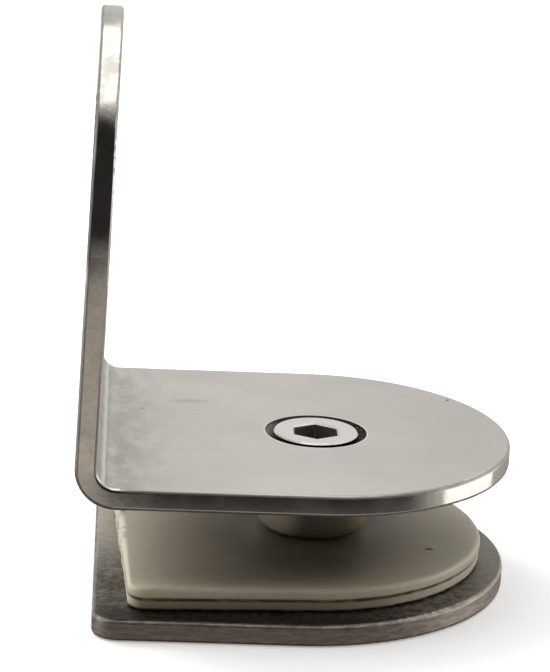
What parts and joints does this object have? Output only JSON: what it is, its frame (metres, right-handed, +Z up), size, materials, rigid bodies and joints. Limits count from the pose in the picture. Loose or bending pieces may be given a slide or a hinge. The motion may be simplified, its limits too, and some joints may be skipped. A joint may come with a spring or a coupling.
{
  "type": "glass panel clamp",
  "caption": "Wall-to-glass clamp: a bent steel bracket with round-ended legs, a cover plate, soft gaskets, a bush and a flush socket screw that draws the plates together.",
  "frame": {"origin": "on the clamp screw's axis, at the underside of the cover plate", "axes": "+X from the wall leg towards the round ends of the plates, +Y along the bend, +Z up from the cover plate to the screw's head"},
  "size_m": [0.05, 0.049, 0.0657],
  "materials": {
    "bracket_steel": "fine brushed stainless, warm grey, with brownish sawn edges",
    "cover_steel": "dull mill stainless with scratches",
    "screw_steel": "bright turned stainless",
    "boss_steel": "plain turned stainless",
    "bush_plastic": "moulded ivory plastic",
    "gasket_plastic": "moulded ivory soft plastic with a rough flashed edge"
  },
  "bodies": {
    "cover": {"cover_plate": "cover_steel", "threaded_boss": "boss_steel", "lower_gasket": "gasket_plastic", "upper_gasket": "gasket_plastic"},
    "bush": {"glass_bush": "bush_plastic"},
    "bracket": {"bracket": "bracket_steel"},
    "screw": {"clamp_screw": "screw_steel"}
  },
  "joints": [
    {"name": "bracket_swivel", "type": "hinge", "parent": "cover", "child": "bush", "pos_m": [0, 0, 0.01], "axis": [0, 0, 1], "continuous": true},
    {"name": "clamp_travel", "type": "slide", "parent": "bush", "child": "bracket", "axis": [0, 0, 1], "range_m": [0, 0.007]},
    {"name": "screw_turn", "type": "hinge", "parent": "bracket", "child": "screw", "pos_m": [0, 0, 0.017], "axis": [0, 0, 1], "range_deg": [0, 2521]}
  ],
  "couplings": [
    {"joint": "screw_turn", "follows": "clamp_travel", "rad_per_m": 6283.2}
  ]
}
